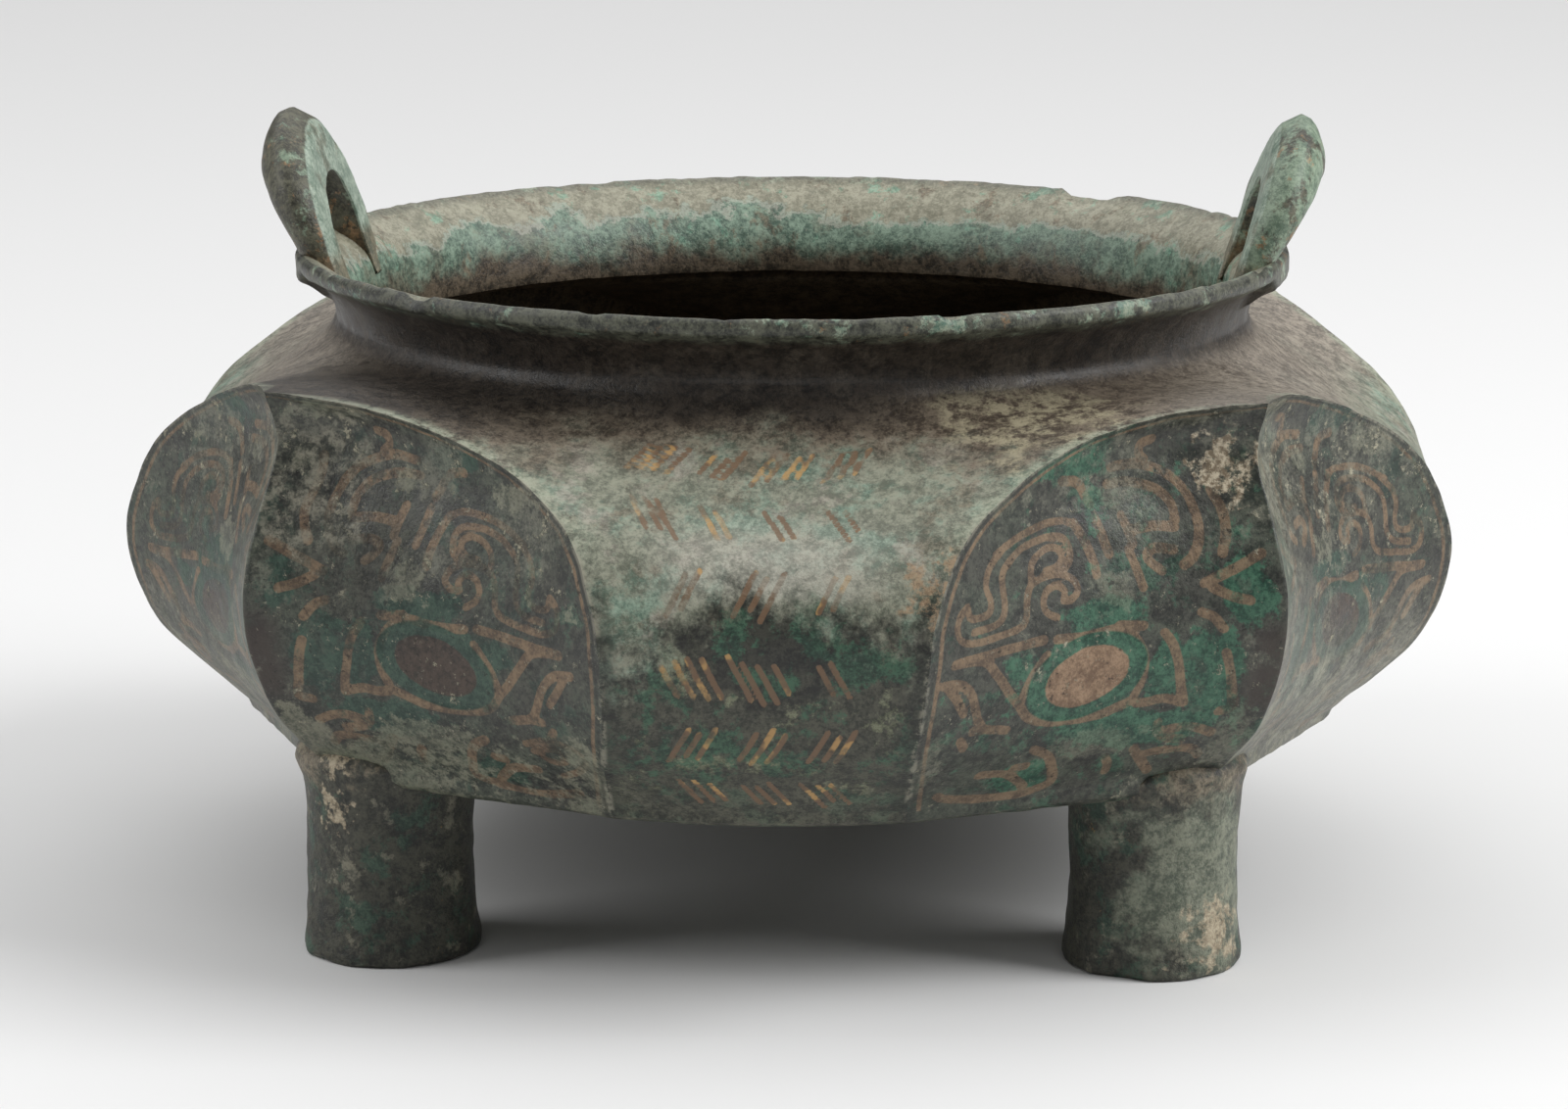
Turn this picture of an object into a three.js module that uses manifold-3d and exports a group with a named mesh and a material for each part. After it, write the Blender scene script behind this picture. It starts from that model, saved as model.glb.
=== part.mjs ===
// A squat cast bronze censer: a hollow four-lobed body on four columnar legs, with a round
// flared lip and two upright loop handles. Millimetres, +Z up, standing on z = 0 with the
// axis of the mouth on the origin. The handles are on X and one plain panel faces -Y.

import * as THREE from 'three';
import { ParametricGeometry } from 'three/addons/geometries/ParametricGeometry.js';
import { mergeVertices } from 'three/addons/utils/BufferGeometryUtils.js';
import Module from 'manifold-3d';

// Mouth, neck and wall
const MOUTH_RADIUS = 111;
const MOUTH_DRAWN_IN = 3;
const LIP_TOP = 137.7;
const LIP_BAND = 3.5;
const NECK_RADIUS = 100;
const SHOULDER_Z = 119;
const VALLEY_SLOPE = THREE.MathUtils.degToRad(34.4);
const COVE_RISE = 3;
const COVE_REACH = 10;
const WALL = 4.4;
const LOBE_TOP_EXTRA = 7;

// Body. The two shares are the parts of the way down the skin where its neck ends and its floor starts.
const UNDERSIDE_Z = 36.2;
const SCOOP_DEPTH = 7.5;
const FRONT_SKEW = 2.8;
const NECK_SHARE = 0.05;
const FLOOR_SHARE = 0.88;

// Legs: upright columns under the four lobes
const LEG_OFFSET = 79.1;
const FOOT_RADIUS = 18.5;
const SHANK_RADIUS = 17.2;
const LEG_TOP = 48;

// Handles: arched loops that lean out and thicken towards the top
const HANDLE_HALF_WIDTH = 27;
const HANDLE_HOLE_HALF = 16;
const HANDLE_TOP = 166;
const HANDLE_FOOT_Z = 126.5;
const HANDLE_FOOT_RISE = 8;
const HANDLE_INNER_X = [93.5, 104.5];
const HANDLE_THICKNESS = [9, 12];
const HANDLE_CROWN_DROP = [4, 9];
const HANDLE_SPRINGING = 0.36;
const HANDLE_HOLE_TOP = 0.71;

// Resolution
const PANEL_COLUMNS = 5;
const FACET_COLUMNS = 5;
const SKIN_ROWS = 23;
const CAVITY_ROWS = 11;
const ROUND_SIDES = 52;
const LEG_SIDES = 24;

// Guide lines of half a lobe. x runs across the panel, y outwards and z up. Points of the
// same rank on two lines are joined by one row of the skin.
const line = (points) => new THREE.CatmullRomCurve3(points.map((p) => new THREE.Vector3(...p)));
const APEX = [99.8, 99.8, 120.5];
const panelLine = line([
  [0, NECK_RADIUS, SHOULDER_Z],
  [0, 108, 113.5],
  [0, 117, 107.4],
  [0, 126.5, 101],
  [0, 135, 95],
  [0, 140.3, 86],
  [0, 140.6, 74],
  [0, 135.5, 57],
  [0, 121, 40.3],
]);
const edgeLine = line([
  APEX,
  [74, 107.5, 116.8],
  [54, 119.5, 110.5],
  [40, 132.5, 100.5],
  [33.5, 140.5, 87],
  [31.7, 142.2, 74],
  [30.5, 135.5, 57],
  [29.5, 117, 40.3],
]);
const arrisLine = line([
  APEX,
  [97.9, 97.9, 110],
  [100.5, 100.5, 99],
  [103.4, 103.4, 88],
  [104.4, 104.4, 77.5],
  [103, 103, 66],
  [99, 99, 54],
  [92, 92, 43.5],
]);
const APEX_RANK = 1 / 8;
const FACET_NORMAL = new THREE.Vector3(0.467, 0.884, 0);

const mix = THREE.MathUtils.lerp;
const { smoothstep, clamp } = THREE.MathUtils;

// Distance, angle and height of a point about the axis of the mouth
const polar = (p) => [Math.hypot(p.x, p.y), Math.atan2(p.x, p.y), p.z];

// Above its apex the lobe is a soft ridge from the neck, below it a sharp edge.
function lobeBoundary(rank) {
  if (rank > APEX_RANK) {
    return edgeLine.getPoint((rank - APEX_RANK) / (1 - APEX_RANK));
  }
  const neck = new THREE.Vector3(NECK_RADIUS * Math.SQRT1_2, NECK_RADIUS * Math.SQRT1_2, SHOULDER_Z);
  return neck.lerp(new THREE.Vector3(...APEX), rank / APEX_RANK);
}

// The shoulder runs out level along the four lobes and slopes down in the valleys between.
function shoulderHeight(radius, angle) {
  const out = radius - NECK_RADIUS;
  const slope = VALLEY_SLOPE * Math.cos(2 * angle) ** 2;
  const ridge = (APEX[2] - SHOULDER_Z) * out / (Math.hypot(APEX[0], APEX[1]) - NECK_RADIUS);
  return SHOULDER_Z - out * Math.tan(slope) + ridge * Math.sin(2 * angle) ** 4;
}

// The panel follows the shoulder down its valley, turns over and is nearly flat on the wall.
function panelPoint(rank, across) {
  const [middleRadius, , middleZ] = polar(panelLine.getPoint(rank));
  const [radius, angle, z] = polar(lobeBoundary(rank));
  const rise = across ** mix(4, 2, smoothstep(rank, APEX_RANK, 4 * APEX_RANK));
  const r = mix(middleRadius, radius, rise);
  const turn = angle * across;
  const wall = smoothstep(rank, 2.5 * APEX_RANK, 5 * APEX_RANK);
  const height = mix(shoulderHeight(r, turn), mix(middleZ, z, rise), wall);
  return new THREE.Vector3(r * Math.sin(turn), r * Math.cos(turn), height);
}

// A facet is scooped between the lobe's edge and its arris, and closes to nothing at the apex.
function facetPoint(rank, across) {
  if (rank <= APEX_RANK) {
    return lobeBoundary(rank);
  }
  const down = (rank - APEX_RANK) / (1 - APEX_RANK);
  const point = edgeLine.getPoint(down).lerp(arrisLine.getPoint(down), across);
  const depth = SCOOP_DEPTH * Math.sin(Math.PI * down) ** 0.8 * 4 * across * (1 - across);
  return point.addScaledVector(FACET_NORMAL, -depth);
}

// The shoulder sweeps up in a cove where it meets the neck.
function coveHeight(point) {
  const away = (Math.hypot(point.x, point.y) - NECK_RADIUS) / COVE_REACH;
  return COVE_RISE * clamp(1 - away, 0, 1) ** 2;
}

// The casting is a little askew: the front panel leans aside between the floor and the neck.
function frontSkew(point) {
  const level = smoothstep(point.z, UNDERSIDE_Z, 78) * (1 - smoothstep(point.z, 106, 121));
  const front = smoothstep(point.y, 90, 130) * (1 - smoothstep(point.x, 50, 92));
  return FRONT_SKEW * level * front;
}

// One of the eight half lobes, in the order in which they follow each other round the body.
function halfLobePoint(rank, round) {
  const columns = PANEL_COLUMNS + FACET_COLUMNS;
  const place = Math.round(round * 8 * columns);
  const half = Math.floor(place / columns) % 8;
  const step = place % columns;
  const mirrored = half % 2 === 1;
  const column = mirrored ? columns - step : step;
  const point = column <= PANEL_COLUMNS
    ? panelPoint(rank, column / PANEL_COLUMNS)
    : facetPoint(rank, (column - PANEL_COLUMNS) / FACET_COLUMNS);
  const quarter = Math.floor((half + 1) / 2) * Math.PI / 2;
  const skew = half === 0 || half === 7 ? frontSkew(point) : 0;
  const x = (mirrored ? -point.x : point.x) + skew;
  return point.set(
    x * Math.cos(quarter) + point.y * Math.sin(quarter),
    x * Math.sin(quarter) - point.y * Math.cos(quarter),
    point.z + coveHeight(point),
  );
}

// The closed outer form, from the axis at the neck down to the axis under the floor.
function skinPoint(round, down, target) {
  const rank = clamp((down - NECK_SHARE) / (FLOOR_SHARE - NECK_SHARE), 0, 1);
  const point = halfLobePoint(rank, round);
  if (down < NECK_SHARE) {
    point.multiply(new THREE.Vector3(0, 0, 1));
  }
  const under = clamp((down - FLOOR_SHARE) / (1 - FLOOR_SHARE), 0, 1);
  const draw = Math.sqrt(Math.max(0, 1 - under * under));
  target.set(
    point.x * draw,
    point.y * draw,
    mix(point.z, UNDERSIDE_Z, 1 - (1 - under) ** 5),
  );
}

// The same form drawn in by the thickness of the wall, which is greater in the tops of the lobes.
function cavityPoint(round, down, target) {
  skinPoint(round, down, target);
  const radius = Math.hypot(target.x, target.y);
  const lobeTop = smoothstep(target.z, 104, SHOULDER_Z) * smoothstep(radius, 108, 136);
  const wall = WALL + LOBE_TOP_EXTRA * lobeTop;
  const inner = radius > wall ? (radius - wall) / radius : 0;
  const middle = (SHOULDER_Z + UNDERSIDE_Z) / 2;
  const squeeze = 1 - 2 * WALL / (SHOULDER_Z - UNDERSIDE_Z);
  target.set(target.x * inner, target.y * inner, middle + (target.z - middle) * squeeze);
}

const wasm = await Module();
wasm.setup();

function solidOf(geometry) {
  geometry.deleteAttribute('normal');
  geometry.deleteAttribute('uv');
  const merged = mergeVertices(geometry, 1e-3);
  const triangles = [];
  for (let i = 0; i < merged.index.count; i += 3) {
    const corners = [0, 1, 2].map((k) => merged.index.getX(i + k));
    if (new Set(corners).size === 3) {
      triangles.push(...corners);
    }
  }
  return new wasm.Manifold(new wasm.Mesh({
    numProp: 3,
    vertProperties: new Float32Array(merged.attributes.position.array),
    triVerts: new Uint32Array(triangles),
  }));
}

function skin(pointAt, rows) {
  const columns = 8 * (PANEL_COLUMNS + FACET_COLUMNS);
  return solidOf(new ParametricGeometry((u, v, target) => pointAt(1 - u, v, target), columns, rows));
}

// A turned form about the vertical axis, from [radius, z] points that run upwards.
function turned(points, sides) {
  const profile = points.map((p) => new THREE.Vector2(...p));
  return new THREE.LatheGeometry(profile, sides).rotateX(Math.PI / 2);
}

// The mouth is out of round: its flare is drawn in where the handles stand.
function mouthRing(points) {
  const geometry = turned(points, ROUND_SIDES);
  const places = geometry.attributes.position;
  for (let i = 0; i < places.count; i += 1) {
    const [x, y, z] = [places.getX(i), places.getY(i), places.getZ(i)];
    const radius = Math.hypot(x, y);
    if (radius > 0) {
      const flare = smoothstep(z, SHOULDER_Z, LIP_TOP - LIP_BAND);
      const scale = 1 - MOUTH_DRAWN_IN * flare * (x / radius) ** 2 / radius;
      places.setXY(i, x * scale, y * scale);
    }
  }
  return solidOf(geometry);
}

function neck() {
  const flare = new THREE.SplineCurve([
    [NECK_RADIUS + 0.8, 117],
    [NECK_RADIUS - 0.4, 121.5],
    [NECK_RADIUS + 1.2, 126.5],
    [NECK_RADIUS + 4.8, 131],
    [MOUTH_RADIUS - 0.6, LIP_TOP - LIP_BAND],
  ].map((p) => new THREE.Vector2(...p)));
  const outside = flare.getPoints(7).map((p) => [p.x, p.y]);
  return mouthRing([[0, 112], [NECK_RADIUS - 2, 112], ...outside, [MOUTH_RADIUS, LIP_TOP - 0.8],
    [MOUTH_RADIUS - 0.9, LIP_TOP], [0, LIP_TOP]]);
}

function throat() {
  const flare = new THREE.SplineCurve([
    [NECK_RADIUS - WALL, 108],
    [NECK_RADIUS - WALL - 0.4, 120],
    [NECK_RADIUS - WALL + 1.2, 127],
    [NECK_RADIUS + 0.6, 132],
    [MOUTH_RADIUS - 2.4, LIP_TOP],
  ].map((p) => new THREE.Vector2(...p)));
  const inside = flare.getPoints(8).map((p) => [p.x, p.y]);
  return mouthRing([[0, 108], ...inside, [MOUTH_RADIUS - 1, LIP_TOP + 1], [0, LIP_TOP + 1]]);
}

function leg(x, y) {
  return solidOf(turned([
    [0, 0],
    [FOOT_RADIUS - 0.8, 0],
    [FOOT_RADIUS, 0.9],
    [FOOT_RADIUS - 0.5, 5],
    [SHANK_RADIUS + 0.2, 13],
    [SHANK_RADIUS, 23],
    [SHANK_RADIUS + 0.4, 33],
    [SHANK_RADIUS + 0.8, 40],
    [SHANK_RADIUS, 44],
    [SHANK_RADIUS - 5, LEG_TOP],
    [0, LEG_TOP],
  ], LEG_SIDES)).translate([x, y, 0]);
}

// An arch on two posts, drawn flat and then leaned, thickened and set on the slope of the lip.
function handle(side) {
  const springing = HANDLE_SPRINGING;
  const outline = new THREE.Shape();
  outline.moveTo(HANDLE_HALF_WIDTH, 0);
  outline.lineTo(HANDLE_HALF_WIDTH, springing);
  outline.absellipse(0, springing, HANDLE_HALF_WIDTH, 1 - springing, 0, Math.PI, false);
  outline.lineTo(-HANDLE_HALF_WIDTH, 0);
  outline.lineTo(-HANDLE_HOLE_HALF, 0);
  outline.lineTo(-HANDLE_HOLE_HALF, springing);
  outline.absellipse(0, springing, HANDLE_HOLE_HALF, HANDLE_HOLE_TOP - springing, Math.PI, 0, true);
  outline.lineTo(HANDLE_HOLE_HALF, 0);
  const geometry = new THREE.ExtrudeGeometry(outline, {
    depth: 1, steps: 2, curveSegments: 10, bevelEnabled: false,
  });
  const places = geometry.attributes.position;
  for (let i = 0; i < places.count; i += 1) {
    const up = places.getY(i);
    const out = places.getZ(i);
    const belly = 1 + 0.06 * Math.sin(Math.PI * out);
    const x = mix(HANDLE_INNER_X[0], HANDLE_INNER_X[1], up) + out * mix(...HANDLE_THICKNESS, up);
    const foot = HANDLE_FOOT_Z + HANDLE_FOOT_RISE * out;
    const crown = HANDLE_TOP - HANDLE_CROWN_DROP[out < 0.5 ? 0 : 1] * (2 * out - 1) ** 2;
    places.setXYZ(i, side * x, side * places.getX(i) * belly, mix(foot, crown, up));
  }
  return solidOf(geometry);
}

function censer() {
  let whole = skin(skinPoint, SKIN_ROWS).add(neck());
  for (const [x, y] of [[-1, -1], [1, -1], [1, 1], [-1, 1]]) {
    whole = whole.add(leg(x * LEG_OFFSET, y * LEG_OFFSET));
  }
  whole = whole.subtract(skin(cavityPoint, CAVITY_ROWS)).subtract(throat());
  return whole.add(handle(-1)).add(handle(1));
}

function meshOf(name, solid, material) {
  const { vertProperties, triVerts } = solid.getMesh();
  const geometry = new THREE.BufferGeometry();
  geometry.setAttribute('position', new THREE.BufferAttribute(vertProperties, 3));
  geometry.setIndex(new THREE.BufferAttribute(triVerts, 1));
  geometry.computeVertexNormals();
  const mesh = new THREE.Mesh(geometry, material);
  mesh.name = name;
  return mesh;
}

const bronze = new THREE.MeshStandardMaterial({ color: 0x4a5448, roughness: 0.62, metalness: 0.45 });
const group = new THREE.Group();
group.add(meshOf('censer', censer(), bronze));

export default group;
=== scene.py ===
"""A four-lobed bronze censer with worn inlay, on a pale floor under soft light."""

import math
import random

import bmesh
import bpy
import numpy as np
from mathutils import Matrix, Vector, noise


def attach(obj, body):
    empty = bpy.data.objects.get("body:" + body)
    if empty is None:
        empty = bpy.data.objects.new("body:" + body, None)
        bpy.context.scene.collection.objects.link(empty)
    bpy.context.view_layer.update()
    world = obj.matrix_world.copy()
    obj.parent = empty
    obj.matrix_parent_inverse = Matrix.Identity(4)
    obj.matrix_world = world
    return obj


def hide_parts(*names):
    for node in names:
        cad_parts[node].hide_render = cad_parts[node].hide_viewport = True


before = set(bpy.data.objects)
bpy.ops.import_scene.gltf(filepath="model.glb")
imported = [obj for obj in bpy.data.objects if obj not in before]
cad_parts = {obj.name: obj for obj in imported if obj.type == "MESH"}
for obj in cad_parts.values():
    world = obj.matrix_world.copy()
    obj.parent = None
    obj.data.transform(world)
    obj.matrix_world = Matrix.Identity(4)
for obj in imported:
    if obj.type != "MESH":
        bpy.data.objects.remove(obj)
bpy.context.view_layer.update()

MM = 0.001

# Body, in millimetres. x runs across a panel, y outwards and z up.
NECK_RADIUS = 100
SHOULDER_Z = 119
UNDERSIDE_Z = 36.2
VALLEY_SLOPE = math.radians(34.4)
COVE_RISE = 3
COVE_REACH = 10
WALL = 4.4
LOBE_TOP_EXTRA = 7
SCOOP_DEPTH = 7.5
FRONT_SKEW = 2.8
MOUTH_DRAWN_IN = 3
LIP_TOP = 137.7
APEX = (99.8, 99.8, 120.5)
APEX_RANK = 1 / 8
PANEL_LINE = [
    (0, 100, 119), (0, 108, 113.5), (0, 117, 107.4), (0, 126.5, 101), (0, 135, 95),
    (0, 140.3, 86), (0, 140.6, 74), (0, 135.5, 57), (0, 121, 40.3),
]
EDGE_LINE = [
    APEX, (74, 107.5, 116.8), (54, 119.5, 110.5), (40, 132.5, 100.5),
    (33.5, 140.5, 87), (31.7, 142.2, 74), (30.5, 135.5, 57), (29.5, 117, 40.3),
]
ARRIS_LINE = [
    APEX, (97.9, 97.9, 110), (100.5, 100.5, 99), (103.4, 103.4, 88),
    (104.4, 104.4, 77.5), (103, 103, 66), (99, 99, 54), (92, 92, 43.5),
]
FACET_NORMAL = np.array([0.467, 0.884, 0])

# Legs and handles
LEG_OFFSET = 79.1
HANDLE_HALF_WIDTH = 27
HANDLE_HOLE_HALF = 16
HANDLE_TOP = 166
HANDLE_FOOT_Z = 126.5
HANDLE_FOOT_RISE = 8
HANDLE_INNER_X = (93.5, 104.5)
HANDLE_THICKNESS = (9, 12)

# Inlay of a facet, laid out in the plane of the facet: along it from its middle, and up.
FINE_STROKES = [
    [(-26.6, 86.4), (-28.3, 85), (-29, 82.4), (-28, 79.9), (-23.8, 79), (-15, 80.1), (-12.3, 82),
     (-11.9, 85.8), (-10.6, 88.4), (-7.5, 89.6), (-3.8, 89.8), (-0.6, 88.3), (0.5, 86), (-1.3, 84.5),
     (-3.2, 84.6)],
    [(-4.7, 81.4), (-7, 82.6), (-8, 84.8), (-6.9, 87), (-4.4, 87.7), (-2.7, 86.3), (-3.2, 84.6)],
    [(-26.4, 86), (-26, 84.2), (-24, 83.7), (-21.3, 84.3), (-20.6, 86.4), (-21.5, 89.5), (-20.6, 92.6),
     (-17, 95.8)],
    [(-25, 81.2), (-19.6, 81.8), (-17.3, 84.2), (-17.4, 88.3), (-17.2, 91.4), (-15, 93.9), (-11.9, 95.8),
     (-7.5, 97), (-3.1, 96.9), (-0.9, 95.1), (-0.6, 92), (-2.5, 90.2)],
    [(-10.6, 88.6), (-10.2, 92), (-8.6, 94), (-5.6, 95.1), (-3.2, 94.4), (-2.5, 92.6), (-4.1, 91.2),
     (-7, 90.8)],
    [(-18.8, 95.1), (-13.1, 97.9), (-7.5, 99.5), (-1.9, 99.8), (0.8, 98.6)],
]
BROAD_STROKES = [
    [(0.9, 98.9), (3.1, 95.1), (4.6, 90.8), (5, 88.3)],
    [(5.9, 99.5), (7.2, 95.5), (8.2, 92)],
    [(-1.5, 107.3), (2.5, 106.4), (4.5, 103), (5.2, 101.8)],
    [(11.9, 99.3), (13, 96.2), (13.8, 93.6)],
    [(13.6, 96.2), (18.5, 96.7), (23.4, 96.2)],
    [(12.6, 92.5), (13.6, 89.5), (15, 85.2)],
    [(10.5, 108.5), (16.3, 108.9), (22.3, 107), (26.2, 103.6), (28.1, 98.9), (28.1, 94.5), (26.3, 90.8),
     (24.2, 89.2)],
    [(9.5, 105.4), (14.4, 105.5), (20, 104), (23.2, 100.8), (23.8, 97.6)],
    [(22.4, 92.1), (18.3, 92.5), (16.5, 91.1), (17.6, 89.5), (19.4, 88.2)],
    [(20, 113.6), (17.6, 112.9), (17.2, 111), (18.4, 109.6)],
    [(31.8, 107.5), (31.9, 103.3), (33.3, 99), (33.3, 95), (31.8, 91.1)],
    [(39.5, 91), (33.5, 88), (27.8, 85.6)],
    [(29.3, 84.8), (33, 82.8), (36.5, 81.8)],
    [(26.9, 79.9), (29.4, 78.8), (31.4, 76.3)],
    [(-29.5, 75.3), (-22.5, 75), (-19.3, 72), (-15.8, 67.6), (-12.9, 64.4), (-10.3, 61.6), (-6, 60.2),
     (0, 59.9), (6, 60.2), (10, 61.4), (13.2, 62.6)],
    [(-29.5, 75.4), (-22, 76), (-15, 76.7), (-8, 77.4)],
    [(-5, 77), (2, 76.8), (8.5, 77.7), (11.5, 76.8), (13.8, 74.4), (15.3, 71), (15, 67), (13.2, 62.6),
     (16, 61.8), (20, 62.3), (24.4, 61)],
    [(9.5, 78.4), (14.8, 77.8)],
    [(-7.3, 74.2), (-10.3, 70.6), (-12.3, 66.6), (-12.9, 64.4)],
    [(19.2, 76), (21, 73.5), (22.4, 70), (23.2, 66), (24.4, 61)],
    [(32, 71.3), (33.2, 67), (34, 63), (34.8, 59.4), (32, 58.7)],
    [(-32.3, 71.5), (-27.5, 70.8), (-24.5, 68), (-22.3, 63), (-20.5, 60.4)],
    [(-23, 60.2), (-19, 60.2), (-14.8, 59.3)],
    [(-30.5, 70.6), (-28, 67.5), (-26, 64.6)],
    [(-25.5, 58.5), (-24, 56.7)],
    [(26.3, 52.7), (22.5, 53.3), (20.2, 55), (19.8, 57)],
    [(21.3, 55), (25, 55.6), (28.5, 55.2), (32, 53.8)],
    [(16.2, 51.5), (18.7, 48.6), (21.6, 45.2)],
    [(10.6, 49.7), (11.7, 48), (12, 46.2)],
    [(18.4, 49.4), (24, 50.3), (28.8, 50.3), (31.5, 48.4)],
    [(-6.9, 54), (-3.1, 52), (-0.6, 48.3), (0.6, 44.8), (-2.5, 43.2), (-6.3, 42.3), (-13.1, 41.8),
     (-21.3, 42.9), (-24, 44)],
    [(-16.9, 48.4), (-10.6, 47.9), (-6.9, 45.8), (-5, 44.2)],
    [(-9.5, 49.6), (-7, 49.9)],
]
CORNER_SCROLL = [
    [(-16.5, 54.5), (-23, 56.2), (-29.5, 55), (-31, 52.4), (-27.5, 49.8), (-22.5, 47.8)],
    [(-18, 53), (-21.5, 54.2), (-25, 54), (-25.3, 51.8), (-21.5, 51.3), (-19.5, 52.6)],
]
FINE_WIDTH = 1.5
BROAD_WIDTH = 2
EYE_CENTRE = (2.2, 68.7)
EYE_HALF = (9.6, 5.7)
EYE_TILT = math.radians(14)

# Broad areas of a facet, green and crusted: middle, then half width and half height
GREEN_AREAS = [
    ((2.2, 68.7), (17, 12)), ((20, 68), (6, 9)), ((29, 68), (8, 13)), ((-13, 72.5), (6, 4)),
    ((14, 56.5), (20, 5)), ((-7, 46.5), (10, 5)), ((6, 81), (13, 4)), ((37, 84), (7, 9)),
    ((0, 110), (10, 4)),
]
CRUST_AREAS = [
    ((36, 107), (6, 6)), ((28, 117), (13, 3)), ((9, 85), (8, 6)), ((12, 104), (5, 5)), ((6, 54), (15, 5)),
    ((37, 51), (8, 10)), ((-31, 50), (5, 12)), ((-15, 104), (10, 4)),
]

# Rows of strokes on the front panel: distance down from the neck, then places across.
MARK_ROWS = [
    (18, (-20, -7.5, 5, 17.5)), (34, (-20, -7.5, 5, 17.5)), (50, (-13, 1.5, 16)),
    (67, (-11.5, 2, 16)), (82, (-11.5, 2, 15.5)), (97, (-10, 2, 14)),
]
MARK_WIDTH = 1.2

# Chips out of the edge of the lip and the right front foot: place, reach and depth
LIP_CHIPS = [((67, 87), 9, 1.6), ((-72, -84), 4, 1.2), ((38, -104), 3, 0.9)]
FOOT_CHIP = ((72, -96, 1), 6, 1.4)

# How crusted each of the eight facets is, round the body from the right of the front panel
CRUST_OF_FACET = np.array([0.12, 0.55, 0.62, 0.6, 0.55, 0.6, 0.53, 0.42])

# Rows of a sheet of the body, down the wall and under the floor, and columns of the sheets
WALL_ROWS = 160
FLOOR_ROWS = 10
LINING_WALL_ROWS = 40
LINING_FLOOR_ROWS = 6
MOUTH_ROWS = 60
PANEL_COLUMNS = 84
LOBE_COLUMNS = 200
LOBE_LINING_COLUMNS = 16

# Unevenness of the casting: height and size of the bumps, in millimetres, and their seed
BODY_RELIEF = [(0.2, 9, 1), (0.16, 4.5, 2)]
LEG_RELIEF = [(0.35, 8, 3), (0.3, 4, 4)]
HANDLE_RELIEF = [(0.25, 8, 5), (0.15, 4, 6)]
NOISE_STEP = Vector((17.3, 5.1, 9.7))
noise.seed_set(3)

# Camera, in metres: angles, distance, and the point it looks at, which is a little left of the axis
CAMERA_PITCH = math.radians(11.94)
CAMERA_YAW = math.radians(3.39)
CAMERA_DISTANCE = 1.03072
CAMERA_ASIDE = -0.00181
CAMERA_AIM_HEIGHT = 0.06753
FOCAL_LENGTH_IN_PIXELS = 4741.33
PICTURE_WIDTH = 1600
SENSOR_WIDTH = 36


def mix(low, high, share):
    return low + (high - low) * share


def ease(value, low, high):
    t = np.clip((value - low) / (high - low), 0, 1)
    return t * t * (3 - 2 * t)


def curve(points, share):
    """Points on a smooth curve through the given ones."""
    p = np.array(points, float)
    p = np.vstack([2 * p[0] - p[1], p, 2 * p[-1] - p[-2]])
    place = np.clip(share, 0, 1) * (len(points) - 1)
    first = np.minimum(place.astype(int), len(points) - 2)
    t = (place - first)[:, None]
    a, b, c, d = (p[first + k] for k in range(4))
    return 0.5 * (2 * b + (c - a) * t + (2 * a - 5 * b + 4 * c - d) * t**2
                  + (3 * b - a - 3 * c + d) * t**3)


def lobe_boundary(rank):
    """The soft ridge from the neck to the apex of a lobe, then the lobe's sharp edge."""
    start = np.array([NECK_RADIUS * math.sqrt(0.5), NECK_RADIUS * math.sqrt(0.5), SHOULDER_Z])
    ridge = mix(start, np.array(APEX), np.clip(rank / APEX_RANK, 0, 1)[:, None])
    edge = curve(EDGE_LINE, (rank - APEX_RANK) / (1 - APEX_RANK))
    return np.where(rank[:, None] > APEX_RANK, edge, ridge)


def shoulder_height(radius, angle):
    out = radius - NECK_RADIUS
    slope = np.tan(VALLEY_SLOPE * np.cos(2 * angle) ** 2)
    ridge = (APEX[2] - SHOULDER_Z) * out / (math.hypot(APEX[0], APEX[1]) - NECK_RADIUS)
    return SHOULDER_Z - out * slope + ridge * np.sin(2 * angle) ** 4


def panel_point(rank, across):
    middle = curve(PANEL_LINE, rank)
    side = lobe_boundary(rank)
    rise = across ** mix(4, 2, ease(rank, APEX_RANK, 4 * APEX_RANK))
    radius = mix(middle[:, 1], np.hypot(side[:, 0], side[:, 1]), rise)
    turn = np.arctan2(side[:, 0], side[:, 1]) * across
    wall = ease(rank, 2.5 * APEX_RANK, 5 * APEX_RANK)
    height = mix(shoulder_height(radius, turn), mix(middle[:, 2], side[:, 2], rise), wall)
    return np.stack([radius * np.sin(turn), radius * np.cos(turn), height], 1)


def facet_point(rank, across):
    down = np.clip((rank - APEX_RANK) / (1 - APEX_RANK), 0, 1)
    point = mix(curve(EDGE_LINE, down), curve(ARRIS_LINE, down), across[:, None])
    depth = SCOOP_DEPTH * np.sin(math.pi * down) ** 0.8 * 4 * across * (1 - across)
    point = point - FACET_NORMAL * depth[:, None]
    lift = panel_point(rank, np.ones(len(rank))) - curve(EDGE_LINE, down)
    point = point + lift * np.clip(1 - 5 * across, 0, 1)[:, None]
    return np.where(rank[:, None] > APEX_RANK, point, lobe_boundary(rank))


def stroke_distance(places, points, width):
    """Distance from each place to a bar that follows the points, negative inside the bar."""
    bends = np.array(points, float)
    if len(points) > 2:
        bends = curve(points, np.linspace(0, 1, 5 * len(points) - 4))
    nearest = np.full(len(places), 1e3)
    for a, b in zip(bends[:-1], bends[1:]):
        along = np.clip((places - a) @ (b - a) / max((b - a) @ (b - a), 1e-9), 0, 1)
        nearest = np.minimum(nearest, np.hypot(*(places - a - along[:, None] * (b - a)).T))
    return nearest - width / 2


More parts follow.
